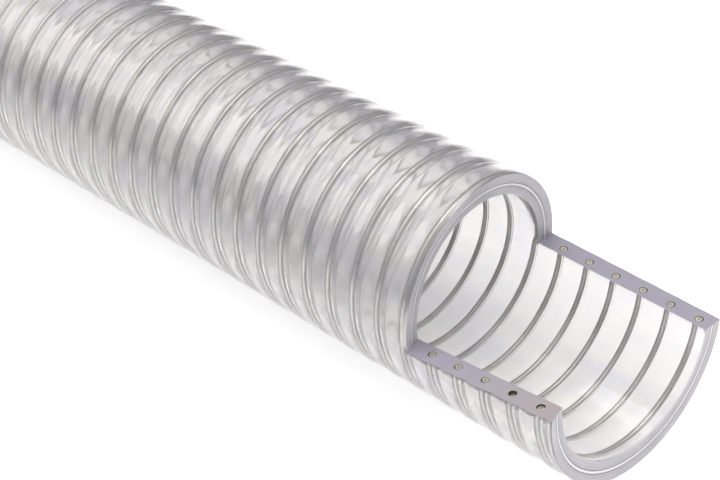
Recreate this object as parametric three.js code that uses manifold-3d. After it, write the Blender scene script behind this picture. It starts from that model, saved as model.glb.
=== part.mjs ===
// A length of reinforced delivery hose: a clear PVC wall with a round steel wire wound inside it.
// The end towards +X is cut away to a lower half shell, which shows the wall and the wire in section.
// Units are millimetres. The hose lies along X on the plane Z = 0, with the origin under its middle.

import * as THREE from 'three';
import { mergeVertices } from 'three/addons/utils/BufferGeometryUtils.js';
import Module from 'manifold-3d';

// Wall
const LENGTH = 1000;
const BORE_DIAMETER = 76;
const WALL_THICKNESS = 9;
// A multiple of four, so that a flat facet faces down
const WALL_FACETS = 48;

// Wire spiral, wound right-handed about +X
const WIRE_DIAMETER = 2.7;
// From the bore to the wire's centre
const WIRE_DEPTH = 3.8;
const WIRE_PITCH = 13.4;
const WIRE_CLEARANCE = 0.3;
const WIRE_SECTION_SIDES = 4;
const WIRE_STEPS_PER_TURN = 12;

// Cutaway: both cross cuts run between two turns of the wire, so no cut runs along a wire.
// A phase is the share of a pitch by which a cut lies past the wire before it.
const CUT_TURNS = 6;
const STEP_PHASE = 0.23;
const END_PHASE = 0.45;
// How far the end's cut moves on in a turn: a little less than the wire does
const END_CUT_LEAD = 10.4;
// On the near side, a cross cut's outer edge lies this much further on than its inner edge.
const CROSS_CUT_SLANT = 2.5;
const CUT_DEPTH_BELOW_AXIS = 2.2;
const FAR_CUT_RISE_PER_MM = -0.012;
const NEAR_CUT_RISE_PER_MM = 0.092;

// How far a cutting solid or a wire runs on past the surface that it crosses
const OVERRUN = 20;

const WALL_COLOR = 0xd9d6d2;
const WIRE_COLOR = 0x8e8c84;

const boreRadius = BORE_DIAMETER / 2;
const outerRadius = boreRadius + WALL_THICKNESS;
const wireRadius = WIRE_DIAMETER / 2;
const helixRadius = boreRadius + WIRE_DEPTH;
// The wall's lowest facet lies on Z = 0.
const axisHeight = outerRadius * Math.cos(Math.PI / WALL_FACETS);
const endX = LENGTH / 2;
const lastWireX = endX - END_PHASE * WIRE_PITCH;
const stepX = lastWireX - (CUT_TURNS - STEP_PHASE) * WIRE_PITCH;

const wasm = await Module();
wasm.setup();

/** Turns a closed three.js geometry into a solid that can be cut and joined. */
function solidOf(geometry) {
  const bare = geometry.index ? geometry.toNonIndexed() : geometry.clone();
  bare.deleteAttribute('normal');
  bare.deleteAttribute('uv');
  const merged = mergeVertices(bare, 1e-4);
  return new wasm.Manifold(new wasm.Mesh({
    numProp: 3,
    vertProperties: new Float32Array(merged.attributes.position.array),
    triVerts: new Uint32Array(merged.index.array),
  }));
}

/** Turns a solid back into a three.js geometry with flat-shaded faces. */
function geometryOf(solid) {
  const mesh = solid.getMesh();
  const indexed = new THREE.BufferGeometry();
  indexed.setAttribute('position', new THREE.BufferAttribute(mesh.vertProperties, 3));
  indexed.setIndex(new THREE.BufferAttribute(mesh.triVerts, 1));
  const faceted = indexed.toNonIndexed();
  faceted.computeVertexNormals();
  return faceted;
}

/**
 * The point at angle phi round the hose. Phi runs from +Y, the far side, over the top to -Y, the near side,
 * and back below.
 */
function pointAround(x, radius, phi) {
  return new THREE.Vector3(x, radius * Math.cos(phi), axisHeight + radius * Math.sin(phi));
}

/** The wire's centre line, from turn to turn, counted from the last wire on the far side. */
class WireHelix extends THREE.Curve {
  constructor(radius, firstTurn, lastTurn) {
    super();
    this.radius = radius;
    this.firstTurn = firstTurn;
    this.lastTurn = lastTurn;
  }

  getPoint(t, target = new THREE.Vector3()) {
    const turn = THREE.MathUtils.lerp(this.firstTurn, this.lastTurn, t);
    return target.copy(pointAround(lastWireX + turn * WIRE_PITCH, this.radius, turn * 2 * Math.PI));
  }
}

/** A regular polygon, with its corners on the given radius. */
function polygon(sides, radius) {
  const corners = [];
  for (let i = 0; i < sides; i += 1) {
    const angle = ((i + 0.5) / sides) * 2 * Math.PI;
    corners.push(new THREE.Vector2(radius * Math.cos(angle), radius * Math.sin(angle)));
  }
  return new THREE.Shape(corners);
}

/** A tube round the whole helix. A margin of 0 gives the wire, and a clearance gives its seat in the wall. */
function helicalTube(margin) {
  // The polygon has the round wire's area, and the chords of a turn have the round turn's mean radius.
  const areaRatio = 2 * Math.PI / (WIRE_SECTION_SIDES * Math.sin(2 * Math.PI / WIRE_SECTION_SIDES));
  const sectionRadius = wireRadius * Math.sqrt(areaRatio) + margin / Math.cos(Math.PI / WIRE_SECTION_SIDES);
  const pathRadius = helixRadius * 2 / (1 + Math.cos(Math.PI / WIRE_STEPS_PER_TURN));
  const firstTurn = Math.floor((-endX - OVERRUN - lastWireX) / WIRE_PITCH);
  const path = new WireHelix(pathRadius, firstTurn, 1);
  const steps = (1 - firstTurn) * WIRE_STEPS_PER_TURN;
  path.arcLengthDivisions = steps;
  const geometry = new THREE.ExtrudeGeometry(polygon(WIRE_SECTION_SIDES, sectionRadius), {
    steps,
    extrudePath: path,
  });
  return solidOf(geometry);
}

/** The plain round tube. */
function tubeBlank() {
  const section = polygon(WALL_FACETS, outerRadius);
  section.holes.push(polygon(WALL_FACETS, boreRadius));
  const geometry = new THREE.ExtrudeGeometry(section, { depth: LENGTH, bevelEnabled: false });
  const basis = new THREE.Matrix4().makeBasis(
    new THREE.Vector3(0, 1, 0),
    new THREE.Vector3(0, 0, 1),
    new THREE.Vector3(1, 0, 0),
  );
  return solidOf(geometry.applyMatrix4(basis).translate(-endX, 0, axisHeight));
}

/**
 * Everything past a cross cut that winds round part of the hose. The cut starts from the given X at angle 0, and
 * moves on by the lead in a turn. Towards the near side, it slants more and more across the wall.
 */
function pastCrossCut(x, lead, startPhi, endPhi) {
  const facets = Math.round(((endPhi - startPhi) / (2 * Math.PI)) * WALL_FACETS);
  // A box bent round the hose: its X becomes the radius, its Y the angle, and its Z runs along the hose.
  const geometry = new THREE.BoxGeometry(1, 1, 1, 1, facets, 1).translate(0.5, 0.5, 0.5);
  const position = geometry.attributes.position;
  for (let i = 0; i < position.count; i += 1) {
    const radius = THREE.MathUtils.lerp(boreRadius - OVERRUN, outerRadius + OVERRUN, position.getX(i));
    const phi = THREE.MathUtils.lerp(startPhi, endPhi, position.getY(i));
    const nearness = (1 - Math.cos(phi)) / 2;
    const slant = nearness * CROSS_CUT_SLANT * (radius - helixRadius) / WALL_THICKNESS;
    const cutX = x + lead * phi / (2 * Math.PI) + slant;
    const alongX = THREE.MathUtils.lerp(cutX, endX + 2 * OVERRUN, position.getZ(i));
    position.setXYZ(i, ...pointAround(alongX, radius, phi));
  }
  return solidOf(geometry);
}

/** All that lies above one wall's sawn edge. Side is 1 for the far wall and -1 for the near wall. */
function aboveSawnEdge(side, risePerMm) {
  const reach = outerRadius + OVERRUN;
  const top = axisHeight + reach;
  const startX = stepX - OVERRUN;
  const stopX = endX + OVERRUN;
  const edgeHeight = (x) => axisHeight - CUT_DEPTH_BELOW_AXIS + risePerMm * (x - stepX);
  const outline = new THREE.Shape([
    new THREE.Vector2(startX, edgeHeight(startX)),
    new THREE.Vector2(stopX, edgeHeight(stopX)),
    new THREE.Vector2(stopX, top),
    new THREE.Vector2(startX, top),
  ]);
  // The two solids overlap inside the bore, so that nothing is left between them.
  const geometry = new THREE.ExtrudeGeometry(outline, { depth: reach + OVERRUN, bevelEnabled: false });
  geometry.rotateX(Math.PI / 2);
  return solidOf(geometry.translate(0, side > 0 ? reach : OVERRUN, 0));
}

/** The hose's outer shape, solid where the wire runs, with its end cut away. */
function wallBlank() {
  const past = Math.PI / 8;
  const beyondStep = pastCrossCut(stepX, WIRE_PITCH, -past, Math.PI + past);
  const aboveEdges = aboveSawnEdge(1, FAR_CUT_RISE_PER_MM).add(aboveSawnEdge(-1, NEAR_CUT_RISE_PER_MM));
  const cutaway = beyondStep.intersect(aboveEdges);
  // The end's cut winds on below, and reaches the far side, a whole turn on, at the hose's full length.
  const beyondEnd = pastCrossCut(endX - END_CUT_LEAD, END_CUT_LEAD, Math.PI - past, 2 * Math.PI + past);
  return tubeBlank().subtract(cutaway).subtract(beyondEnd);
}

/** The separate solids of a cut piece, from the far end towards the cutaway. */
function piecesFromTheFarEnd(solid) {
  return solid.decompose().sort((a, b) => a.boundingBox().min[0] - b.boundingBox().min[0]);
}

const wallMaterial = new THREE.MeshStandardMaterial({
  name: 'clear_pvc',
  color: WALL_COLOR,
  roughness: 0.15,
  metalness: 0,
  transparent: true,
  opacity: 0.45,
});
const wireMaterial = new THREE.MeshStandardMaterial({
  name: 'spring_steel',
  color: WIRE_COLOR,
  roughness: 0.4,
  metalness: 1,
});

function namedMesh(name, solid, material) {
  const mesh = new THREE.Mesh(geometryOf(solid), material);
  mesh.name = name;
  return mesh;
}

function buildHose() {
  const hose = new THREE.Group();
  hose.name = 'reinforced_delivery_hose';
  const blank = wallBlank();
  hose.add(namedMesh('hose_wall', blank.subtract(helicalTube(WIRE_CLEARANCE)), wallMaterial));
  const [spiral, ...arcs] = piecesFromTheFarEnd(helicalTube(0).intersect(blank));
  hose.add(namedMesh('wire_spiral', spiral, wireMaterial));
  arcs.forEach((arc, i) => hose.add(namedMesh(`wire_arc_${i + 1}`, arc, wireMaterial)));
  return hose;
}

export default buildHose();
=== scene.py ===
"""The visual model of a reinforced delivery hose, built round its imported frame.

The hose lies along X on the plane Z = 0. Its wall is clear PVC with a round steel wire wound inside it, and
its end towards +X is cut away to a lower half shell. Everything is in metres.

Angles round the hose (phi) start at +Y, the far side, and run over the top to -Y, the near side, and back
below.
"""

from __future__ import annotations

import logging
import math
from dataclasses import dataclass, field
from enum import Enum

import bmesh
import bpy
import numpy as np
from mathutils import Euler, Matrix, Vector

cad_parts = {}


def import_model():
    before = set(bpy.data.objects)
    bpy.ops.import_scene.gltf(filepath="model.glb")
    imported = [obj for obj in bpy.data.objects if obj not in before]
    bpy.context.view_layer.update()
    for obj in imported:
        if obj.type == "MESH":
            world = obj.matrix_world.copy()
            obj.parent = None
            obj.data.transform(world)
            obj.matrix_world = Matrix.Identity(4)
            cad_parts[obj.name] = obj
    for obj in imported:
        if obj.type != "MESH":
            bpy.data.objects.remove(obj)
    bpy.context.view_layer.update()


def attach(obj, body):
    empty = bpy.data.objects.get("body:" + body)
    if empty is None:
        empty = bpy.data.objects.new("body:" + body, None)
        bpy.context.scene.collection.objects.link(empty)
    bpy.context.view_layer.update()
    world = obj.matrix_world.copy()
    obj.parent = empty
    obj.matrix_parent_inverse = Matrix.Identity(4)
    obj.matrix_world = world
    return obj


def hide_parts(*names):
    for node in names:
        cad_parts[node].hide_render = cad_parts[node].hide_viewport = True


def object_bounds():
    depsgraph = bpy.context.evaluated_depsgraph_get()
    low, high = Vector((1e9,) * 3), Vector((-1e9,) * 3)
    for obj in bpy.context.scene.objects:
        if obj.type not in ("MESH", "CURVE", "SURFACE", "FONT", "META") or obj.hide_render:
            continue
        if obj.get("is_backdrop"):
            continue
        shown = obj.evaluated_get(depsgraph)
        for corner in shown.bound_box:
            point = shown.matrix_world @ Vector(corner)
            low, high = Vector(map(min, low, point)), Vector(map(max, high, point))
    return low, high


LOG = logging.getLogger("hose")
MM = 0.001
TAU = 2 * math.pi
# The range of a noise over which two colours are mixed
CONTRAST = (0.35, 0.65)
# The rounds in which the place where two cuts meet is found
MEETING_ROUNDS = 3

Color = tuple[float, float, float]
Paint = Color | bpy.types.NodeSocket
Points = list[tuple[float, float, float]]


class Side(Enum):
    """The two walls that the cutaway leaves a sawn edge on."""

    FAR = 1
    NEAR = -1


class Slot(Enum):
    """Two material slot names."""

    PVC = "clear_pvc"
    STEEL = "spring_steel"


class WallFace(Enum):
    """The finishes of the wall's faces, in the order of their material slots."""

    SKIN = 0
    BORE = 1
    SAWN = 2
    RIM = 3
    SEAT = 4


@dataclass(frozen=True)
class HoseSizes:
    """The sizes that the wall and the wire share.

    Args:
        length: the whole hose
        bore_radius: the inner face of the wall
        wall: the wall's thickness at the crests
        facets: the facets of the frame's wall, whose lowest one lies on the ground
        wire_radius: the round wire
        wire_depth: from the bore to the wire's centre
        pitch: the wire's lead in one turn
        cut_turns: the turns of wire that the cutaway crosses on the far side
        step_phase: how far the step lies past a wire, as a share of the pitch
        end_phase: how far the end lies past the last wire, as a share of the pitch
        end_lead: how far the end's cut moves on in a turn
        slant: on the near side, how much further on a cross cut's outer edge lies than its inner edge
        cut_depth: how far below the axis the sawn edges start
        far_rise: the rise of the far sawn edge along the hose
        near_rise: the rise of the near sawn edge along the hose
        end_depth: how far a cut end of the wire lies below its sawn edge
        sprung_depths: the same for the last two near ends, which have sprung back
    """

    length: float = 1000 * MM
    bore_radius: float = 38 * MM
    wall: float = 9 * MM
    facets: int = 48
    wire_radius: float = 1.35 * MM
    wire_depth: float = 3.8 * MM
    pitch: float = 13.4 * MM
    cut_turns: int = 6
    step_phase: float = 0.23
    end_phase: float = 0.45
    end_lead: float = 10.4 * MM
    slant: float = 2.5 * MM
    cut_depth: float = 2.2 * MM
    far_rise: float = -0.012
    near_rise: float = 0.092
    end_depth: float = 0.1 * MM
    sprung_depths: tuple[float, float] = (1.6 * MM, 0.8 * MM)

    @property
    def axis_height(self) -> float:
        """The height of the hose's axis."""
        return (self.bore_radius + self.wall) * math.cos(math.pi / self.facets)

    @property
    def crest_radius(self) -> float:
        """The outside at the crests, which rest on the ground."""
        return self.axis_height

    @property
    def helix_radius(self) -> float:
        """The radius of the wire's centre line."""
        return self.bore_radius + self.wire_depth

    @property
    def end_x(self) -> float:
        """The furthest point of the cut-away end."""
        return self.length / 2

    @property
    def last_wire_x(self) -> float:
        """Where the last turn of wire crosses the far side."""
        return self.end_x - self.end_phase * self.pitch

    @property
    def step_x(self) -> float:
        """Where the step crosses the far side."""
        return self.last_wire_x - (self.cut_turns - self.step_phase) * self.pitch

    def slanted(self, phi: float, radius: float) -> float:
        """How far a cross cut is moved on at an angle and a radius by its slant across the wall."""
        return (1 - math.cos(phi)) / 2 * self.slant * (radius - self.helix_radius) / self.wall

    def step_at(self, phi: float, radius: float) -> float:
        """The step's X at an angle and a radius."""
        return self.step_x + self.pitch * phi / TAU + self.slanted(phi, radius)

    def end_at(self, phi: float, radius: float) -> float:
        """The end's X at an angle and a radius."""
        return self.end_x + self.end_lead * (phi / TAU - 1) + self.slanted(phi, radius)

    def rise(self, side: Side) -> float:
        """How much a sawn edge rises along the hose."""
        return self.far_rise if side is Side.FAR else self.near_rise

    def cut_height(self, side: Side, x: float) -> float:
        """A sawn edge's height above the axis at a place along the hose."""
        return -self.cut_depth + self.rise(side) * (x - self.step_x)

    def edge_angle(self, side: Side, x: float, radius: float) -> float:
        """The angle at which a sawn edge lies, at a place along the hose and a radius."""
        tilt = math.asin(self.cut_height(side, x) / radius)
        return tilt if side is Side.FAR else math.pi - tilt

    def point(self, x: float, radius: float, phi: float) -> tuple[float, float, float]:
        """The point at a place along the hose, a radius and an angle."""
        return (x, radius * math.cos(phi), self.axis_height + radius * math.sin(phi))

    def wire_point(self, turn: float) -> Vector:
        """The wire's centre at a turn, counted from the last wire on the far side."""
        return Vector(self.point(self.last_wire_x + turn * self.pitch, self.helix_radius, turn * TAU))

    def edge_turns(self, side: Side) -> list[float]:
        """The turns at which the wire crosses a sawn edge, from the step to the end.

        Args:
            side: the sawn edge

        Returns:
            The turns, counted from the last wire on the far side.
        """
        if side is Side.FAR:
            return [number - self.cut_turns + 1.0 for number in range(self.cut_turns)]
        return [number - self.cut_turns + 0.5 for number in range(1, self.cut_turns)]

    def wire_end(self, side: Side, turn: float) -> Vector:
        """The middle of the wire's cut end in the face of a sawn edge."""
        end = self.wire_point(turn)
        return Vector((end.x, end.y, self.axis_height + self.cut_height(side, end.x)))

    def sunk_depth(self, turn: float) -> float:
        """How far the wire's cut end at a turn lies below its sawn edge."""
        sprung = dict(zip(self.edge_turns(Side.NEAR)[-2:], self.sprung_depths))
        return sprung.get(turn, self.end_depth)


class Socket:
    """A number's socket in a node tree, which adds Math nodes as it takes part in arithmetic."""

    def __init__(self, bench: NodeBench, socket: bpy.types.NodeSocket) -> None:
        """Wraps an output socket of a tree that the bench builds."""
        self.bench = bench
        self.socket = socket

    def math(self, operation: str, *values: Socket | float, first: bool = True) -> Socket:
        """Adds a Math node.

        Args:
            operation: the node's operation
            values: the other operands
            first: whether this socket is the first operand, rather than the last

        Returns:
            The node's output.
        """
        operands = [self, *values] if first else [*values, self]
        node = self.bench.node("ShaderNodeMath", {"operation": operation}, dict(enumerate(operands)))
        return Socket(self.bench, node.outputs[0])

    def __add__(self, other: Socket | float) -> Socket:
        """Adds a value."""
        return self.math("ADD", other)

    def __radd__(self, other: float) -> Socket:
        """Is added to a number."""
        return self.math("ADD", other)

    def __sub__(self, other: Socket | float) -> Socket:
        """Takes a value away."""
        return self.math("SUBTRACT", other)

    def __rsub__(self, other: float) -> Socket:
        """Is taken away from a number."""
        return self.math("SUBTRACT", other, first=False)

    def __mul__(self, other: Socket | float) -> Socket:
        """Multiplies by a value."""
        return self.math("MULTIPLY", other)

    def __rmul__(self, other: float) -> Socket:
        """Multiplies a number."""
        return self.math("MULTIPLY", other)

    def __truediv__(self, other: Socket | float) -> Socket:
        """Divides by a value."""
        return self.math("DIVIDE", other)

    def smooth(self, low: float, high: float) -> Socket:
        """Turns a range into a smooth step from 0 to 1.

        Args:
            low: where the step starts
            high: where it ends

        Returns:
            The step.
        """
        node = self.bench.node(
            "ShaderNodeMapRange",
            {"interpolation_type": "SMOOTHSTEP"},
            {"Value": self, "From Min": low, "From Max": high},
        )
        return Socket(self.bench, node.outputs["Result"])


class NodeBench:
    """Builds one node tree."""

    def __init__(self, tree: bpy.types.NodeTree) -> None:
        """Takes an empty tree."""
        self.tree = tree

    def node(self, kind: str, settings: dict | None = None, inputs: dict | None = None) -> bpy.types.Node:
        """Adds a node.

        Args:
            kind: the node's type
            settings: the node's own settings, set first; "stops" holds the stops of a ramp
            inputs: values or links, by the socket's name or number

        Returns:
            The node.
        """
        node = self.tree.nodes.new(kind)
        for name, value in (settings or {}).items():
            if name == "stops":
                self._stops(node.color_ramp, value)
            else:
                setattr(node, name, value)
        for key, value in (inputs or {}).items():
            target = node.inputs[key]
            if isinstance(value, Socket):
                self.tree.links.new(value.socket, target)
            elif isinstance(value, bpy.types.NodeSocket):
                self.tree.links.new(value, target)
            else:
                target.default_value = value
        return node

    def number(
        self, kind: str, output: str, settings: dict | None = None, inputs: dict | None = None
    ) -> Socket:
        """Adds a node and returns one of its outputs for arithmetic."""
        return Socket(self, self.node(kind, settings, inputs).outputs[output])

    @staticmethod
    def _stops(ramp: bpy.types.ColorRamp, stops: tuple[tuple[float, Color], ...]) -> None:
        """Sets a ramp's stops.

        Args:
            ramp: the ramp
            stops: the place and the colour of each stop
        """
        while len(ramp.elements) < len(stops):
            ramp.elements.new(1.0)
        for element, (position, color) in zip(ramp.elements, stops):
            element.position = position
            element.color = (*color, 1.0)


class SurfaceBench(NodeBench):
    """Builds one material."""

    def __init__(self, name: str) -> None:
        """Starts a material with an empty tree."""
        self.material = bpy.data.materials.new(name)
        self.material.use_nodes = True
        self.material.node_tree.nodes.clear()
        super().__init__(self.material.node_tree)

    def place(self) -> bpy.types.NodeSocket:
        """The place on the object, in metres."""
        return self.node("ShaderNodeTexCoord").outputs["Object"]

    def stretched(self, scale: Color) -> bpy.types.NodeSocket:
        """The place on the object, scaled along each axis."""
        mapping = self.node("ShaderNodeMapping", None, {"Vector": self.place(), "Scale": scale})
        return mapping.outputs["Vector"]

    def along(self) -> tuple[Socket, Socket, Socket]:
        """The place on the object as three numbers."""
        node = self.node("ShaderNodeSeparateXYZ", None, {0: self.place()})
        return Socket(self, node.outputs[0]), Socket(self, node.outputs[1]), Socket(self, node.outputs[2])

    def radius(self, sizes: HoseSizes) -> Socket:
        """The distance to the hose's axis.

        Args:
            sizes: the hose's sizes

        Returns:
            The distance in metres.
        """
        _, y, z = self.along()
        up = z - sizes.axis_height
        return (y * y + up * up).math("SQRT")

    def past_wire(self, sizes: HoseSizes, offset: float = 0.0) -> Socket:
        """How far a place lies past the nearest turn of wire, or past a line at an offset from it.

        Args:
            sizes: the hose's sizes
            offset: the line's distance from the wire, along the hose

        Returns:
            The distance along the hose, in metres.
        """
        x, y, z = self.along()
        up = z - sizes.axis_height
        phase = (x - (sizes.last_wire_x + offset)) / sizes.pitch - up.math("ARCTAN2", y) / TAU
        return (phase - phase.math("ROUND")) * sizes.pitch

    def wire_distance(self, sizes: HoseSizes) -> Socket:
        """The distance to the wire's centre line.

        Args:
            sizes: the hose's sizes

        Returns:
            The distance in metres.
        """
        lengthwise = self.past_wire(sizes)
        outwards = self.radius(sizes) - sizes.helix_radius
        return (lengthwise * lengthwise + outwards * outwards).math("SQRT")

    def noise(self, where: bpy.types.NodeSocket, scale: float, detail: float = 3.0) -> Socket:
        """Noise from 0 to 1."""
        inputs = {"Vector": where, "Scale": scale, "Detail": detail}
        return self.number("ShaderNodeTexNoise", "Fac", None, inputs)

    def mixed(self, factor: Socket | float, low: Paint, high: Paint) -> bpy.types.NodeSocket:
        """Mixes two colours, each given as a colour or as a link.

        Args:
            factor: the share of the second colour
            low: the first colour
            high: the second colour

        Returns:
            The mixed colour.
        """
        ends = [(*paint, 1.0) if isinstance(paint, tuple) else paint for paint in (low, high)]
        node = self.node("ShaderNodeMix", {"data_type": "RGBA"}, {0: factor, 6: ends[0], 7: ends[1]})
        return node.outputs[2]

    def bump(self, height: Socket, distance: float) -> bpy.types.NodeSocket:
        """A normal from a height between 0 and 1, with the given full height in metres."""
        node = self.node("ShaderNodeBump", None, {"Height": height, "Distance": distance, "Strength": 1.0})
        return node.outputs["Normal"]

    def principled(self, inputs: dict) -> bpy.types.NodeSocket:
        """A Principled shader with the given values or links."""
        return self.node("ShaderNodeBsdfPrincipled", None, inputs).outputs[0]

    def finish(self, surface: bpy.types.NodeSocket) -> bpy.types.Material:
        """Ends the material with its surface."""
        self.node("ShaderNodeOutputMaterial", None, {"Surface": surface})
        return self.material


@dataclass(frozen=True)
class ClearPvc:
    """The moulded faces of the wall: clear and slightly milky, with soft streaks and a ridge beside the wire.

    Args:
        sizes: the hose's sizes
        name: the material's name
        light: the colour of the clear parts
        milky: the colour of the milkier streaks
        clarity: the share of light that passes, the rest being scattered
        roughness: the lowest roughness
        streak_roughness: what the streaks add to it
        streak_height: the height of the streaks
        refraction: the plastic's refractive index
        ridge_height: the height of the ridge that runs beside each turn of wire
        ridge_offset: how far that ridge lies past the wire
        ridge_half_width: half its width
    """

    sizes: HoseSizes
    name: str
    light: Color = (0.945, 0.925, 0.895)
    milky: Color = (0.865, 0.855, 0.885)
    clarity: float = 0.8
    roughness: float = 0.08
    streak_roughness: float = 0.1
    streak_height: float = 0.008 * MM
    refraction: float = 1.53
    ridge_height: float = 0.0
    ridge_offset: float = 2.9 * MM
    ridge_half_width: float = 0.6 * MM

    def material(self) -> bpy.types.Material:
        """Builds the material.

        Returns:
            The material.
        """
        bench = SurfaceBench(self.name)
        streaks = bench.noise(bench.stretched((4.0, 45.0, 45.0)), 4.0, 2.0)
        cloud = bench.noise(bench.place(), 45.0, 2.0)
        tint = (streaks * 0.5 + cloud * 0.5).smooth(0.38, 0.62)
        off_ridge = bench.past_wire(self.sizes, self.ridge_offset).math("ABSOLUTE")
        ridge = 1.0 - off_ridge.smooth(0.0, self.ridge_half_width)
        height = streaks * self.streak_height + ridge * self.ridge_height
        surface = bench.principled(
            {
                "Base Color": bench.mixed(tint, self.light, self.milky),
                "Roughness": streaks.smooth(0.4, 0.7) * self.streak_roughness + self.roughness,
                "Normal": bench.bump(height / MM, MM),
                "IOR": self.refraction,
                "Transmission Weight": self.clarity,
            }
        )
        return bench.finish(surface)


@dataclass(frozen=True)
class CutRimPvc:
    """The two cross cuts: partly milky, with painted highlights along both edges, and a painted highlight
    line over the wire behind the face, with painted shadow beside it.

    Args:
        sizes: the hose's sizes
        name: the material's name
        light: the colour of the lighter parts
        dark: the colour of the darker parts
        clear_light: the colour of the clear parts
        clear_dark: the colour of their darker clouds
        clarity: the share of light that passes the clear parts
        wire_glint: the colour of the painted highlight of the wire just behind the cut face
        shadow: the colour of the painted shadow beside that line
        milkiness: the share of the cut that isn't clear
        wire_glint_radius: the radius of the painted highlight line
        wire_glint_half_width: half the painted highlight line's width
        shadow_half_width: half the width of the line and the painted shadow beside it
        edge: the width of the painted highlights along both edges
        refraction: the plastic's refractive index
    """

    sizes: HoseSizes
    name: str = "cut_rim_pvc"
    light: Color = (0.76, 0.74, 0.78)
    dark: Color = (0.58, 0.57, 0.61)
    clear_light: Color = (0.94, 0.93, 0.92)
    clear_dark: Color = (0.88, 0.87, 0.89)
    clarity: float = 0.85
    wire_glint: Color = (0.98, 0.98, 0.97)
    shadow: Color = (0.2, 0.2, 0.21)
    milkiness: float = 0.62
    wire_glint_radius: float = 42.1 * MM
    wire_glint_half_width: float = 0.6 * MM
    shadow_half_width: float = 1.2 * MM
    edge: float = 0.8 * MM
    refraction: float = 1.53

    def material(self) -> bpy.types.Material:
        """Builds the material.

        Returns:
            The material.
        """
        bench = SurfaceBench(self.name)
        radius = bench.radius(self.sizes)
        cloud = bench.noise(bench.place(), 90.0, 2.0)
        rings = bench.noise(bench.node("ShaderNodeCombineXYZ", None, {0: radius * 900.0}).outputs[0], 1.0)
        # outer and inner paint highlights along the outer and inner edges of the cut, which lighten its
        # colour there.
        outer = radius.smooth(self.sizes.crest_radius - self.edge, self.sizes.crest_radius)
        inner = 1.0 - radius.smooth(self.sizes.bore_radius, self.sizes.bore_radius + self.edge)
        tone = (cloud * 0.4 + rings * 0.6).smooth(*CONTRAST) + outer + inner
        # A thin line at the wire's radius is a painted highlight of the wire just behind the face, with
        # painted shadow on either side of it.
        off_wire_glint = (radius - self.wire_glint_radius).math("ABSOLUTE")
        wire_glint = 1.0 - off_wire_glint.smooth(self.wire_glint_half_width * 0.5, self.wire_glint_half_width)
        shadow = 1.0 - off_wire_glint.smooth(self.wire_glint_half_width, self.shadow_half_width)
        plain = bench.mixed(tone, self.dark, self.light)
        milky = bench.mixed(wire_glint, bench.mixed(shadow, plain, self.shadow), self.wire_glint)
        relief = bench.bump(rings, 0.05 * MM)
        sawn = bench.principled({"Base Color": milky, "Roughness": cloud * 0.2 + 0.35, "Normal": relief})
        clear = bench.principled(
            {
                "Base Color": bench.mixed(cloud, self.clear_light, self.clear_dark),
                "Roughness": cloud * 0.1 + 0.12,
                "Normal": relief,
                "IOR": self.refraction,
                "Transmission Weight": self.clarity,
            }
        )
        share = (wire_glint + shadow) * 0.5 + self.milkiness
        mix = bench.node("ShaderNodeMixShader", None, {0: share, 1: clear, 2: sawn})
        return bench.finish(mix.outputs[0])


@dataclass(frozen=True)
class SawnPvc:
    """The sawn edges: matt, with the saw's fine marks across, and stained round the cut wires.

    Args:
        sizes: the hose's sizes
        name: the material's name
        light: the colour of the lighter parts
        dark: the colour of the darker parts
        warm: the colour of the near edge towards the end
        stain: the colour round the cut wires
        stain_reach: where the stain starts to fade, and where it ends, from the wire's centre
        near_side: the places across the hose between which the warm colour sets in
        warm_start: how far past the step it sets in
        light_start: where the lighter colour sets in, from the step
        roughness: the lowest roughness
        mark_height: the depth of the saw's marks
    """

    sizes: HoseSizes
    name: str = "sawn_pvc"
    light: Color = (0.405, 0.385, 0.455)
    dark: Color = (0.345, 0.335, 0.40)
    warm: Color = (0.41, 0.375, 0.385)
    stain: Color = (0.44, 0.40, 0.34)
    stain_reach: tuple[float, float] = (1.5 * MM, 2.5 * MM)
    near_side: tuple[float, float] = (-20 * MM, 0.0)
    warm_start: float = 20 * MM
    light_start: float = -10 * MM
    roughness: float = 0.5
    mark_height: float = 0.04 * MM

    def material(self) -> bpy.types.Material:
        """Builds the material.

        Returns:
            The material.
        """
        bench = SurfaceBench(self.name)
        x, y, _ = bench.along()
        marks = bench.noise(bench.stretched((500.0, 40.0, 40.0)), 1.0)
        cloud = bench.noise(bench.place(), 90.0)
        height = marks * 0.3 + cloud * 0.7
        stained = 1.0 - bench.wire_distance(self.sizes).smooth(*self.stain_reach)
        step_x = self.sizes.step_x
        end_x = self.sizes.end_x
        near = 1.0 - y.smooth(*self.near_side)
        warmth = x.smooth(step_x + self.warm_start, end_x) * near
        tone = height.smooth(*CONTRAST) * 0.7 + x.smooth(step_x + self.light_start, end_x) * 0.3
        plain = bench.mixed(warmth, bench.mixed(tone, self.dark, self.light), self.warm)
        surface = bench.principled(
            {
                "Base Color": bench.mixed(stained * 0.7, plain, self.stain),
                "Roughness": cloud * 0.2 + self.roughness,
                "Normal": bench.bump(height, self.mark_height),
            }
        )
        return bench.finish(surface)


@dataclass(frozen=True)
class WireSeat:
    """The sides of the small pits in which the wire's cut ends lie: dull and near black, painted shade inside
    the pits with a brownish mottle of dirt.
    """

    name: str = "wire_seat"
    light: Color = (0.16, 0.15, 0.12)
    dark: Color = (0.04, 0.035, 0.03)

    def material(self) -> bpy.types.Material:
        """Builds the material.

        Returns:
            The material.
        """
        bench = SurfaceBench(self.name)
        # The near-black colours paint the shade inside the pits; this noise mottles them like dirt.
        dirt_and_shade = bench.noise(bench.place(), 900.0)
        surface = bench.principled(
            {
                "Base Color": bench.mixed(dirt_and_shade.smooth(*CONTRAST), self.dark, self.light),
                "Roughness": dirt_and_shade * 0.3 + 0.5,
            }
        )
        return bench.finish(surface)


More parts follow.
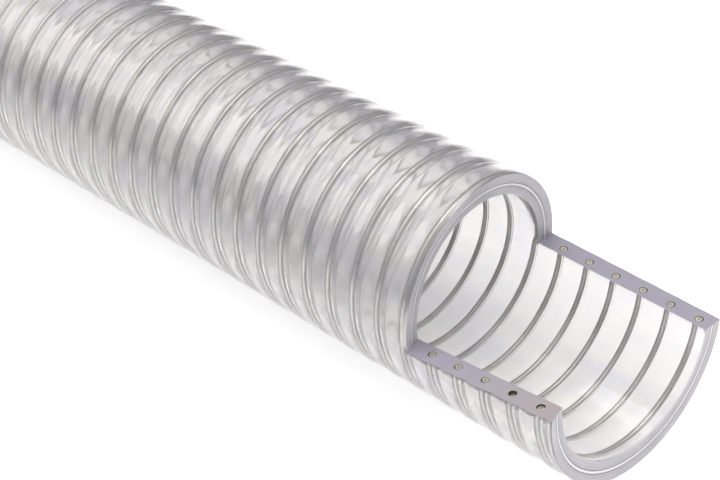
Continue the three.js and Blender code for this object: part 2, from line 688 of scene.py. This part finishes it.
@dataclass(frozen=True)
class DrawnSteel:
    """The wire: satin steel with fine lines along it."""

    name: str = "drawn_steel"
    light: Color = (0.74, 0.74, 0.70)
    dark: Color = (0.54, 0.54, 0.51)
    roughness: float = 0.22

    def material(self) -> bpy.types.Material:
        """Builds the material.

        Returns:
            The material.
        """
        bench = SurfaceBench(self.name)
        stains = bench.noise(bench.place(), 90.0)
        lines = bench.noise(bench.stretched((1800.0, 60.0, 60.0)), 1.0)
        tint = (stains * 0.5 + lines * 0.5).smooth(*CONTRAST)
        surface = bench.principled(
            {
                "Base Color": bench.mixed(tint, self.dark, self.light),
                "Metallic": 1.0,
                "Roughness": lines * 0.2 + self.roughness,
                "Normal": bench.bump(lines, 0.02 * MM),
            }
        )
        return bench.finish(surface)


@dataclass(frozen=True)
class ShearedSteel:
    """The wire's cut ends: bright towards the edge, duller in the middle, with a faint brassy tint.

    Args:
        sizes: the hose's sizes
        name: the material's name
        light: the colour of the bright ring
        dark: the colour of the saw's marks in it
        middle: the colour of the middle
        ring: where the bright ring starts and where it is brightest, from the wire's centre
    """

    sizes: HoseSizes
    name: str = "sheared_steel"
    light: Color = (0.78, 0.76, 0.66)
    dark: Color = (0.50, 0.48, 0.38)
    middle: Color = (0.34, 0.33, 0.26)
    ring: tuple[float, float] = (0.2 * MM, 1.0 * MM)

    def material(self) -> bpy.types.Material:
        """Builds the material.

        Returns:
            The material.
        """
        bench = SurfaceBench(self.name)
        marks = bench.noise(bench.stretched((3000.0, 400.0, 400.0)), 1.0)
        rim = bench.wire_distance(self.sizes).smooth(*self.ring)
        bright = bench.mixed(marks.smooth(*CONTRAST), self.dark, self.light)
        surface = bench.principled(
            {
                "Base Color": bench.mixed(rim, self.middle, bright),
                "Metallic": 0.7,
                "Roughness": marks * 0.2 + 0.35,
                "Normal": bench.bump(marks, 0.03 * MM),
            }
        )
        return bench.finish(surface)


class Loom:
    """Weaves rows of points into one closed mesh."""

    def __init__(self) -> None:
        """Starts without points or faces."""
        self.points: Points = []
        self.skin: list[float] = []
        self.faces: list[tuple[int, ...]] = []
        self.finishes: list[int] = []

    def row(self, points: Points, skin: bool) -> list[int]:
        """Adds a row of points.

        Args:
            points: the points in order
            skin: whether they lie on the outer face

        Returns:
            Their numbers.
        """
        first = len(self.points)
        self.points.extend(points)
        self.skin.extend([float(skin)] * len(points))
        return list(range(first, first + len(points)))

    def weave(self, first: list[int], second: list[int], finish: WallFace) -> None:
        """Joins two rows of as many points by four-sided faces.

        Args:
            first: the first row
            second: the second row
            finish: the faces' finish
        """
        for i in range(len(first) - 1):
            self.faces.append((first[i], first[i + 1], second[i + 1], second[i]))
            self.finishes.append(finish.value)

    def mesh(self, name: str) -> bpy.types.Mesh:
        """Makes the mesh, with smooth moulded faces and flat cut faces, and the outer face marked.

        Args:
            name: the mesh's name

        Returns:
            The mesh.
        """
        mesh = bpy.data.meshes.new(name)
        mesh.from_pydata(self.points, [], self.faces)
        mesh.attributes.new("finish", "INT", "FACE").data.foreach_set("value", self.finishes)
        smooth = [finish in (WallFace.SKIN.value, WallFace.BORE.value) for finish in self.finishes]
        mesh.polygons.foreach_set("use_smooth", smooth)
        mesh.attributes.new("skin", "FLOAT", "POINT").data.foreach_set("value", self.skin)
        mesh.update()
        return mesh


def linked(name: str, data: bpy.types.ID) -> bpy.types.Object:
    """Puts an object into the scene.

    Args:
        name: its name
        data: its mesh, camera or light

    Returns:
        The object.
    """
    made = bpy.data.objects.new(name, data)
    bpy.context.collection.objects.link(made)
    return made


def plain_copy(made: bpy.types.Object, name: str) -> bpy.types.Object:
    """Turns an object's evaluated shape into a plain mesh object, and deletes the first.

    Args:
        made: the object, with its modifiers
        name: the new object's name

    Returns:
        The new object.
    """
    graph = bpy.context.evaluated_depsgraph_get()
    mesh = bpy.data.meshes.new_from_object(made.evaluated_get(graph), depsgraph=graph)
    bpy.data.objects.remove(made)
    mesh.name = name
    return linked(name, mesh)


class GeometryRule(NodeBench):
    """A Geometry Nodes tree with named inputs."""

    def __init__(self, name: str, numbers: dict[str, float], counts: dict[str, int] | None = None) -> None:
        """Starts a tree.

        Args:
            name: the tree's name
            numbers: the named inputs for sizes
            counts: the named inputs for counts
        """
        super().__init__(bpy.data.node_groups.new(name, "GeometryNodeTree"))
        self.values = {**numbers, **(counts or {})}
        self.tree.interface.new_socket("Geometry", in_out="INPUT", socket_type="NodeSocketGeometry")
        for key in numbers:
            self.tree.interface.new_socket(key, in_out="INPUT", socket_type="NodeSocketFloat")
        for key in counts or {}:
            self.tree.interface.new_socket(key, in_out="INPUT", socket_type="NodeSocketInt")
        self.tree.interface.new_socket("Geometry", in_out="OUTPUT", socket_type="NodeSocketGeometry")
        self.start = self.node("NodeGroupInput")

    def size(self, name: str) -> Socket:
        """One of the named inputs."""
        return Socket(self, self.start.outputs[name])

    def named(self, name: str, kind: str = "FLOAT") -> Socket:
        """One of the mesh's named attributes."""
        settings = {"data_type": kind}
        return self.number("GeometryNodeInputNamedAttribute", "Attribute", settings, {"Name": name})

    def end(self, geometry: bpy.types.NodeSocket, materials: list[bpy.types.Material]) -> None:
        """Ends the tree: the geometry is made real and takes its materials.

        Args:
            geometry: the tree's shape
            materials: the material of each number in the faces' "finish" attribute, the first by default
        """
        result = self.node("GeometryNodeRealizeInstances", None, {0: geometry}).outputs[0]
        for i, material in enumerate(materials):
            inputs = {"Geometry": result, "Material": material}
            if i > 0:
                equal = {"data_type": "INT", "operation": "EQUAL"}
                same = self.node("FunctionNodeCompare", equal, {2: self.named("finish", "INT"), 3: i})
                inputs["Selection"] = same.outputs[0]
            result = self.node("GeometryNodeSetMaterial", None, inputs).outputs[0]
        self.node("NodeGroupOutput", None, {0: result})

    def apply(self, source: bpy.types.Object, name: str) -> bpy.types.Object:
        """Runs the tree on an object.

        Args:
            source: the object, which is used up
            name: the result's name

        Returns:
            The result, as a plain mesh object.
        """
        modifier = source.modifiers.new(self.tree.name, "NODES")
        modifier.node_group = self.tree
        for item in self.tree.interface.items_tree:
            if item.in_out == "INPUT" and item.name in self.values:
                modifier[item.identifier] = self.values[item.name]
        return plain_copy(source, name)


@dataclass
class HoseWall:
    """The clear wall: a whole tube up to the step, and a lower half shell beyond it.

    Args:
        sizes: the hose's sizes
        top_columns: the columns of faces over the top, from sawn edge to sawn edge
        bottom_columns: the columns of faces below
        rows_per_turn: the rows of faces in each pitch of the outer face
        bore_rows_per_turn: the rows in each pitch of the bore, before the step
        wave_depth: how far the outer face dips between two turns of wire
        shell_wave: the share of that dip on the far side of the half shell
        seat_radius: the small pit round each cut end of the wire
        seat_shift: how far such a pit lies off the wire's centre, towards the near side
        seat_depth: how far such a pit reaches below the wire's end
        seat_sides: the sides of such a pit
    """

    sizes: HoseSizes
    top_columns: int = 58
    bottom_columns: int = 60
    rows_per_turn: int = 8
    bore_rows_per_turn: int = 2
    wave_depth: float = 0.5 * MM
    shell_wave: float = 0.3
    seat_radius: float = 1.72 * MM
    seat_shift: float = 0.22 * MM
    seat_depth: float = 0.6 * MM
    seat_sides: int = 24

    def edge_at_step(self, side: Side, radius: float) -> float:
        """The angle at which a sawn edge meets the step.

        Args:
            side: the sawn edge
            radius: the distance from the hose's axis

        Returns:
            The angle.
        """
        phi = 0.0 if side is Side.FAR else math.pi
        for _ in range(MEETING_ROUNDS):
            phi = self.sizes.edge_angle(side, self.sizes.step_at(phi, radius), radius)
        return phi

    def edge_at_end(self, side: Side, radius: float) -> float:
        """The angle at which a sawn edge meets the end.

        Args:
            side: the sawn edge
            radius: the distance from the hose's axis

        Returns:
            The angle.
        """
        phi = 0.0 if side is Side.FAR else math.pi
        turn = TAU if side is Side.FAR else 0.0
        for _ in range(MEETING_ROUNDS):
            phi = self.sizes.edge_angle(side, self.sizes.end_at(phi + turn, radius), radius)
        return phi

    def top_step_row(self, radius: float) -> Points:
        """The step's points over the top, from the far edge to the near edge.

        Args:
            radius: the distance from the hose's axis

        Returns:
            The points.
        """
        far = self.edge_at_step(Side.FAR, radius)
        near = self.edge_at_step(Side.NEAR, radius)
        row = []
        for phi in np.linspace(far, near, self.top_columns + 1):
            row.append(self.sizes.point(self.sizes.step_at(phi, radius), radius, phi))
        return row

    def shell_row(self, share: float, radius: float) -> Points:
        """A row of the half shell, from the near edge round below to the far edge.

        Args:
            share: the row's place, from 0 at the step to 1 at the end
            radius: the row's radius

        Returns:
            The row's points.
        """
        sizes = self.sizes
        starts = {side: sizes.step_at(self.edge_at_step(side, radius), radius) for side in Side}
        stops = {
            Side.NEAR: self.edge_at_end(Side.NEAR, radius),
            Side.FAR: self.edge_at_end(Side.FAR, radius) + TAU,
        }
        edges = {}
        for side in Side:
            x = starts[side] + share * (sizes.end_at(stops[side], radius) - starts[side])
            edges[side] = sizes.edge_angle(side, x, radius)
        row = []
        for across in np.linspace(0.0, 1.0, self.bottom_columns + 1):
            phi = edges[Side.NEAR] + across * (edges[Side.FAR] + TAU - edges[Side.NEAR])
            stop_phi = stops[Side.NEAR] + across * (stops[Side.FAR] - stops[Side.NEAR])
            start = starts[Side.NEAR] + across * (starts[Side.FAR] - starts[Side.NEAR])
            x = start + share * (sizes.end_at(stop_phi, radius) - start)
            row.append(sizes.point(x, radius, phi))
        return row

    def tube_rows(self, loom: Loom, radius: float, rows_per_turn: int, skin: bool) -> list[list[int]]:
        """Adds the rows of the whole tube, from the square end to the step.

        Args:
            loom: what the rows go into
            radius: the rows' radius
            rows_per_turn: the rows in each pitch
            skin: whether this is the outer face

        Returns:
            The rows, each of which ends with its own first point.
        """
        last = self.top_step_row(radius)[:-1] + self.shell_row(0.0, radius)[:-1]
        count = round((self.sizes.step_x + self.sizes.length / 2) / self.sizes.pitch * rows_per_turn)
        rows = []
        for share in np.linspace(0.0, 1.0, count + 1):
            start = -self.sizes.length / 2
            numbers = loom.row([(start + share * (x - start), y, z) for x, y, z in last], skin)
            rows.append([*numbers, numbers[0]])
        return rows

    def shell_rows(self, loom: Loom, radius: float, joint: list[int], skin: bool) -> list[list[int]]:
        """Adds the rows of the half shell, which start from the tube's last row.

        Args:
            loom: what the rows go into
            radius: the rows' radius
            joint: the tube's last row
            skin: whether this is the outer face

        Returns:
            The rows.
        """
        count = round(self.sizes.cut_turns * self.rows_per_turn)
        rows = [joint[self.top_columns:]]
        for share in np.linspace(0.0, 1.0, count + 1)[1:]:
            rows.append(loom.row(self.shell_row(share, radius), skin))
        return rows

    def woven(self) -> bpy.types.Mesh:
        """Makes the closed wall, without its waves.

        Returns:
            The wall's mesh.
        """
        loom = Loom()
        outer_radius = self.sizes.crest_radius
        bore_radius = self.sizes.bore_radius
        outer = self.tube_rows(loom, outer_radius, self.rows_per_turn, True)
        bore = self.tube_rows(loom, bore_radius, self.bore_rows_per_turn, False)
        outer_shell = self.shell_rows(loom, outer_radius, outer[-1], True)
        bore_shell = self.shell_rows(loom, bore_radius, bore[-1], False)
        for rows in (outer, outer_shell):
            for first, second in zip(rows, rows[1:]):
                loom.weave(first, second, WallFace.SKIN)
        for rows in (bore, bore_shell):
            for first, second in zip(rows, rows[1:]):
                loom.weave(second, first, WallFace.BORE)
        loom.weave(bore[0], outer[0], WallFace.RIM)
        top = self.top_columns + 1
        loom.weave(outer[-1][:top], bore[-1][:top], WallFace.RIM)
        loom.weave(outer_shell[-1], bore_shell[-1], WallFace.RIM)
        loom.weave([row[0] for row in outer_shell], [row[0] for row in bore_shell], WallFace.SAWN)
        loom.weave([row[-1] for row in bore_shell], [row[-1] for row in outer_shell], WallFace.SAWN)
        return loom.mesh("wall_blank")

    def waves(self, materials: list[bpy.types.Material]) -> GeometryRule:
        """Makes the rule of the outer face: a crest over each turn of the wire, and a shallow dip between.

        Args:
            materials: the materials of the wall's finishes

        Returns:
            The rule.
        """
        sizes = self.sizes
        rule = GeometryRule(
            "wall_waves",
            {
                "Pitch": sizes.pitch,
                "Last Wire": sizes.last_wire_x,
                "Axis Height": sizes.axis_height,
                "Depth": self.wave_depth,
                "Step": sizes.step_x,
                "Far Shell Share": self.shell_wave,
            },
        )
        position = rule.node("GeometryNodeInputPosition").outputs[0]
        place = rule.node("ShaderNodeSeparateXYZ", None, {0: position})
        x, y, z = (Socket(rule, output) for output in place.outputs)
        up = z - rule.size("Axis Height")
        phase = (x - rule.size("Last Wire")) / rule.size("Pitch") - up.math("ARCTAN2", y) / TAU
        dip = 0.5 - (phase * TAU).math("COSINE") * 0.5
        radius = (y * y + up * up).math("SQRT")
        beyond = ((x - rule.size("Step")) / rule.size("Pitch")).smooth(-1.0, 1.0)
        faded = beyond * (y / radius).smooth(0.0, 1.0) * (1.0 - rule.size("Far Shell Share"))
        scale = 1.0 - dip * rule.named("skin") * (1.0 - faded) * rule.size("Depth") / radius
        moved = rule.node(
            "ShaderNodeCombineXYZ",
            None,
            {0: x, 1: y * scale, 2: rule.size("Axis Height") + up * scale},
        )
        waved = rule.node(
            "GeometryNodeSetPosition",
            None,
            {"Geometry": rule.start.outputs[0], "Position": moved.outputs[0]},
        )
        rule.end(waved.outputs[0], materials)
        return rule

    def seat_cutter(self, material: bpy.types.Material) -> bpy.types.Object:
        """Makes the short rods that cut the pits round the wire's ends.

        Args:
            material: the pits' finish

        Returns:
            The rods.
        """
        sizes = self.sizes
        ends: list[Vector] = []
        depths: list[float] = []
        slopes: list[float] = []
        for side in Side:
            for turn in sizes.edge_turns(side):
                ends.append(sizes.wire_end(side, turn) - Vector((0.0, self.seat_shift, 0.0)))
                depths.append(sizes.sunk_depth(turn) + self.seat_depth)
                slopes.append(-math.atan(sizes.rise(side)))
        mesh = bpy.data.meshes.new("seat_points")
        mesh.from_pydata(ends, [], [])
        mesh.attributes.new("depth", "FLOAT", "POINT").data.foreach_set("value", depths)
        mesh.attributes.new("slope", "FLOAT", "POINT").data.foreach_set("value", slopes)
        rule = GeometryRule("wire_seats", {"Radius": self.seat_radius}, {"Sides": self.seat_sides})
        # Its depth of 2 reaches 1 each way, which the points' depths scale
        rod = rule.node(
            "GeometryNodeMeshCylinder",
            None,
            {"Vertices": rule.size("Sides"), "Radius": rule.size("Radius"), "Depth": 2.0},
        )
        turned = rule.node("ShaderNodeCombineXYZ", None, {1: rule.named("slope")})
        stretched = rule.node("ShaderNodeCombineXYZ", None, {0: 1.0, 1: 1.0, 2: rule.named("depth")})
        rods = rule.node(
            "GeometryNodeInstanceOnPoints",
            None,
            {
                "Points": rule.start.outputs[0],
                "Instance": rod.outputs[0],
                "Rotation": turned.outputs[0],
                "Scale": stretched.outputs[0],
            },
        )
        rule.end(rods.outputs[0], [material])
        return rule.apply(linked("seat_points", mesh), "seat_cutter")

    def build(self) -> bpy.types.Object:
        """Makes the wall with its finishes.

        Returns:
            The wall.
        """
        moulded = ClearPvc(self.sizes, "moulded_pvc").material()
        bore = ClearPvc(self.sizes, "bore_pvc", ridge_height=0.1 * MM).material()
        sawn = SawnPvc(self.sizes).material()
        rim = CutRimPvc(self.sizes).material()
        seat = WireSeat().material()
        blank = linked("wall_blank", self.woven())
        waved = self.waves([moulded, bore, sawn, rim]).apply(blank, "waved_wall")
        waved.data.materials.append(seat)
        cutter = self.seat_cutter(seat)
        cut = waved.modifiers.new("wire_seats", "BOOLEAN")
        cut.operation = "DIFFERENCE"
        cut.solver = "EXACT"
        cut.object = cutter
        cut.material_mode = "TRANSFER"
        wall = plain_copy(waved, "clear_wall")
        bpy.data.objects.remove(cutter)
        for name in ("skin", "finish"):
            wall.data.attributes.remove(wall.data.attributes[name])
        return wall


@dataclass
class WireSpiral:
    """The steel wire: the spiral in the whole tube, and a half turn for each wire in the shell.

    Args:
        sizes: the hose's sizes
        steps_per_turn: the straight steps in a turn
        sides: the sides of the wire's section
        spare: the spare wire that is wound before an end is cut off, in turns
        tail_spare: the same at the square end, in turns
        proud: how far the tail's cut end stands out of the wall's square end
    """

    sizes: HoseSizes
    steps_per_turn: int = 64
    sides: int = 12
    spare: float = 0.03
    tail_spare: float = 0.25
    proud: float = 0.04 * MM
    steel: bpy.types.Material = field(init=False)
    sheared: bpy.types.Material = field(init=False)

    def __post_init__(self) -> None:
        """Makes the wire's finishes."""
        self.steel = DrawnSteel().material()
        self.sheared = ShearedSteel(self.sizes).material()

    def stretch(self, name: str, first: float, last: float) -> bpy.types.Object:
        """Winds the wire between two turns.

        Args:
            name: the piece's name
            first: the first turn, counted from the last wire on the far side
            last: the last turn

        Returns:
            The wire, closed at both ends.
        """
        sizes = self.sizes
        rule = GeometryRule(
            name,
            {
                "First Turn": first,
                "Last Turn": last,
                "Pitch": sizes.pitch,
                "Last Wire": sizes.last_wire_x,
                "Axis Height": sizes.axis_height,
                "Helix Radius": sizes.helix_radius,
                "Wire Radius": sizes.wire_radius,
            },
            {"Steps": round((last - first) * self.steps_per_turn), "Sides": self.sides},
        )
        line = rule.node("GeometryNodeMeshLine", None, {"Count": rule.size("Steps")})
        index = rule.number("GeometryNodeInputIndex", "Index")
        share = index / (rule.size("Steps") - 1.0)
        turn = rule.size("First Turn") + share * (rule.size("Last Turn") - rule.size("First Turn"))
        angle = turn * TAU
        place = rule.node(
            "ShaderNodeCombineXYZ",
            None,
            {
                0: rule.size("Last Wire") + turn * rule.size("Pitch"),
                1: angle.math("COSINE") * rule.size("Helix Radius"),
                2: angle.math("SINE") * rule.size("Helix Radius") + rule.size("Axis Height"),
            },
        )
        path = rule.node(
            "GeometryNodeSetPosition",
            None,
            {"Geometry": line.outputs[0], "Position": place.outputs[0]},
        )
        curve = rule.node("GeometryNodeMeshToCurve", None, {0: path.outputs[0]})
        section = rule.node(
            "GeometryNodeCurvePrimitiveCircle",
            None,
            {"Resolution": rule.size("Sides"), "Radius": rule.size("Wire Radius")},
        )
        tube = rule.node(
            "GeometryNodeCurveToMesh",
            None,
            {"Curve": curve.outputs[0], "Profile Curve": section.outputs[0], "Fill Caps": True},
        )
        smooth = rule.node("GeometryNodeSetShadeSmooth", None, {"Geometry": tube.outputs[0]})
        rule.end(smooth.outputs[0], [self.steel])
        return rule.apply(linked(name, bpy.data.meshes.new(name)), name)

    def trim(self, wire: bpy.types.Object, place: Vector, outward: Vector, reach: float) -> None:
        """Cuts a wire's end off and closes it.

        Args:
            wire: the wire
            place: a point of the cutting plane
            outward: the direction in which the wire is cut off
            reach: how far from that point the wire is cut, so that its other turns are left alone
        """
        mesh = bmesh.new()
        mesh.from_mesh(wire.data)
        faces = [face for face in mesh.faces if (face.calc_center_median() - place).length < reach]
        edges = {edge for face in faces for edge in face.edges}
        verts = {vert for face in faces for vert in face.verts}
        cut = bmesh.ops.bisect_plane(
            mesh,
            geom=[*faces, *edges, *verts],
            plane_co=place,
            plane_no=outward,
            clear_outer=True,
        )
        rim = [edge for edge in cut["geom_cut"] if isinstance(edge, bmesh.types.BMEdge)]
        caps = bmesh.ops.edgenet_fill(mesh, edges=rim)["faces"]
        for face in caps:
            face.smooth = False
            face.material_index = 1
        bmesh.ops.recalc_face_normals(mesh, faces=mesh.faces)
        mesh.to_mesh(wire.data)
        mesh.free()

    def trim_at_edge(self, wire: bpy.types.Object, side: Side, turn: float) -> None:
        """Cuts a wire off just below a sawn edge.

        Args:
            wire: the wire
            side: the sawn edge
            turn: the turn at which the wire crosses it
        """
        sizes = self.sizes
        place = sizes.wire_end(side, turn) - Vector((0.0, 0.0, sizes.sunk_depth(turn)))
        self.trim(wire, place, Vector((-sizes.rise(side), 0.0, 1.0)), sizes.pitch)

    def build(self) -> list[tuple[bpy.types.Object, str]]:
        """Makes all stretches of the wire.

        Returns:
            Each piece, with the node that it stands for.
        """
        sizes = self.sizes
        tail_x = -sizes.length / 2
        first = (tail_x - sizes.last_wire_x) / sizes.pitch
        far_turns = sizes.edge_turns(Side.FAR)
        spiral = self.stretch("wound_wire", first - self.tail_spare, far_turns[0] + self.spare)
        tail = Vector((tail_x - self.proud, 0.0, sizes.axis_height))
        self.trim(spiral, tail, Vector((-1.0, 0.0, 0.0)), 2 * sizes.helix_radius)
        self.trim_at_edge(spiral, Side.FAR, far_turns[0])
        pieces = [(spiral, "wire_spiral")]
        for number, (near, far) in enumerate(zip(sizes.edge_turns(Side.NEAR), far_turns[1:]), start=1):
            arc = self.stretch(f"wire_half_turn_{number}", near - self.spare, far + self.spare)
            self.trim_at_edge(arc, Side.NEAR, near)
            self.trim_at_edge(arc, Side.FAR, far)
            pieces.append((arc, f"wire_arc_{number}"))
        for piece, _ in pieces:
            piece.data.materials.append(self.sheared)
        return pieces


@dataclass(frozen=True)
class SoftLight:
    """A soft rectangular light.

    Args:
        name: the light's name
        place: where it hangs
        size: its width and height
        power: its power in watts
        color: its colour
    """

    name: str
    place: Color
    size: tuple[float, float]
    power: float
    color: Color

    def hang(self, aim: Color) -> None:
        """Hangs the light.

        Args:
            aim: the point that it faces
        """
        data = bpy.data.lights.new(self.name, "AREA")
        data.shape = "RECTANGLE"
        data.size, data.size_y = self.size
        data.energy = self.power
        data.color = self.color
        light = linked(self.name, data)
        light.location = self.place
        light.rotation_euler = (Vector(aim) - Vector(self.place)).to_track_quat("-Z", "Y").to_euler()


@dataclass
class Studio:
    """The pale floor, with a painted pool of light and a painted contact shadow under the hose, and the
    lights and the camera.

    Args:
        camera_place: where the camera stands
        camera_turn: how it is turned, in degrees
        lens: its focal length in millimetres
        sensor: the width of its sensor in millimetres
        aim: what the lights face
        lights: the lights
        sky: the light from all round, from below to above
        floor_size: the floor's side
        paper: the colour of the painted pool of light on the floor under the cut-away end
        ground: the dimmer colour of the floor away from the painted pool of light
        shade: the colour of the painted contact shadow right under the hose
        pool_middle: the middle of the painted pool of light
        pool_edge: where the pool starts to fade, and where it ends, from its middle
        shade_half_width: half the width of the painted shadow
        shade_ends: where the shade starts and stops along the hose
        shade_fades: half the length over which it fades at each of these
        glow: how much the floor shines by itself, as under the light table of a product photograph
    """

    camera_place: Color = (0.82823, -0.43157, 0.50957)
    camera_turn: Color = (53.5597, 3.6047, 45.1417)
    lens: float = 96.381
    sensor: float = 36.0
    aim: Color = (0.25, 0.0, 0.05)
    lights: tuple[SoftLight, ...] = (
        SoftLight("top_light", (0.3, 0.1, 1.6), (1.6, 1.2), 14.0, (1.0, 0.98, 0.97)),
        SoftLight("side_light", (-0.6, -0.415, 0.75), (0.7, 0.6), 2.8, (1.0, 0.97, 0.92)),
    )
    sky: tuple[tuple[float, Color], ...] = (
        (0.0, (0.07, 0.07, 0.12)),
        (0.28, (0.11, 0.11, 0.17)),
        (0.62, (0.70, 0.69, 0.70)),
    )
    floor_size: float = 12.0
    paper: Color = (0.93, 0.93, 0.93)
    ground: Color = (0.42, 0.42, 0.44)
    shade: Color = (0.16, 0.16, 0.20)
    pool_middle: tuple[float, float] = (0.27, 0.03)
    pool_edge: tuple[float, float] = (0.2, 1.3)
    shade_half_width: float = 0.017
    shade_ends: tuple[float, float] = (-0.5, 0.36)
    shade_fades: tuple[float, float] = (0.01, 0.03)
    glow: float = 0.6

    def camera(self) -> None:
        """Sets up the camera at the photograph's angle."""
        data = bpy.data.cameras.new("camera")
        data.lens = self.lens
        data.sensor_width = self.sensor
        data.clip_start = 0.01
        data.clip_end = 100.0
        camera = linked("camera", data)
        camera.location = self.camera_place
        camera.rotation_euler = Euler([math.radians(angle) for angle in self.camera_turn])
        bpy.context.scene.camera = camera

    def floor(self) -> None:
        """Lays the floor, with a painted pool of light and a painted contact shadow under the hose."""
        half = self.floor_size / 2
        mesh = bpy.data.meshes.new("studio_floor")
        corners = [(-half, -half, 0.0), (half, -half, 0.0), (half, half, 0.0), (-half, half, 0.0)]
        mesh.from_pydata(corners, [], [(0, 1, 2, 3)])
        bench = SurfaceBench("floor_paper")
        x, y, _ = bench.along()
        # A painted contact shadow: the shade colour fills a band under the hose, in the base and the emitted
        # colour alike.
        across = 1.0 - y.math("ABSOLUTE").smooth(0.0, self.shade_half_width)
        start, stop = self.shade_ends
        start_fade, stop_fade = self.shade_fades
        before_stop = 1.0 - x.smooth(stop - stop_fade, stop + stop_fade)
        lengthwise = x.smooth(start - start_fade, start + start_fade) * before_stop
        # A painted pool of light: the floor is lightest round pool_middle and fades to the dimmer ground
        # colour.
        aside_x = x - self.pool_middle[0]
        aside_y = y - self.pool_middle[1]
        away = (aside_x * aside_x + aside_y * aside_y).math("SQRT")
        painted_pool = bench.mixed(away.smooth(*self.pool_edge), self.paper, self.ground)
        tone = bench.mixed(across * lengthwise, painted_pool, self.shade)
        surface = bench.principled(
            {"Base Color": tone, "Roughness": 0.8, "Emission Color": tone, "Emission Strength": self.glow}
        )
        mesh.materials.append(bench.finish(surface))
        linked("studio_floor", mesh)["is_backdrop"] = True

    def world(self) -> None:
        """Lights the scene from all round, brightest above."""
        world = bpy.data.worlds.new("studio")
        bpy.context.scene.world = world
        world.use_nodes = True
        world.node_tree.nodes.clear()
        bench = NodeBench(world.node_tree)
        direction = bench.node("ShaderNodeTexCoord").outputs["Generated"]
        height = bench.number("ShaderNodeSeparateXYZ", "Z", None, {0: direction})
        ramp = bench.node("ShaderNodeValToRGB", {"stops": self.sky}, {"Fac": height})
        background = bench.node("ShaderNodeBackground", None, {"Color": ramp.outputs[0], "Strength": 1.0})
        bench.node("ShaderNodeOutputWorld", None, {"Surface": background.outputs[0]})

    def build(self) -> None:
        """Sets up the whole studio."""
        self.camera()
        self.floor()
        self.world()
        for light in self.lights:
            light.hang(self.aim)
        bpy.context.scene.view_settings.view_transform = "Standard"


def corners() -> list[list[float]]:
    """The shown object's lowest and highest corners."""
    return [list(corner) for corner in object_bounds()]


def main() -> None:
    """Builds the hose round its frame, in its studio."""
    logging.basicConfig(level=logging.INFO, format="%(message)s")
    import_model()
    sizes = HoseSizes()
    Studio().build()
    wall = HoseWall(sizes).build()
    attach(wall, "root")
    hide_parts("hose_wall")
    LOG.info("%s: %d faces", wall.name, len(wall.data.polygons))
    for wire, node in WireSpiral(sizes).build():
        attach(wire, "root")
        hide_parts(node)
        LOG.info("%s: %d faces", wire.name, len(wire.data.polygons))


if __name__ == "__main__":
    main()
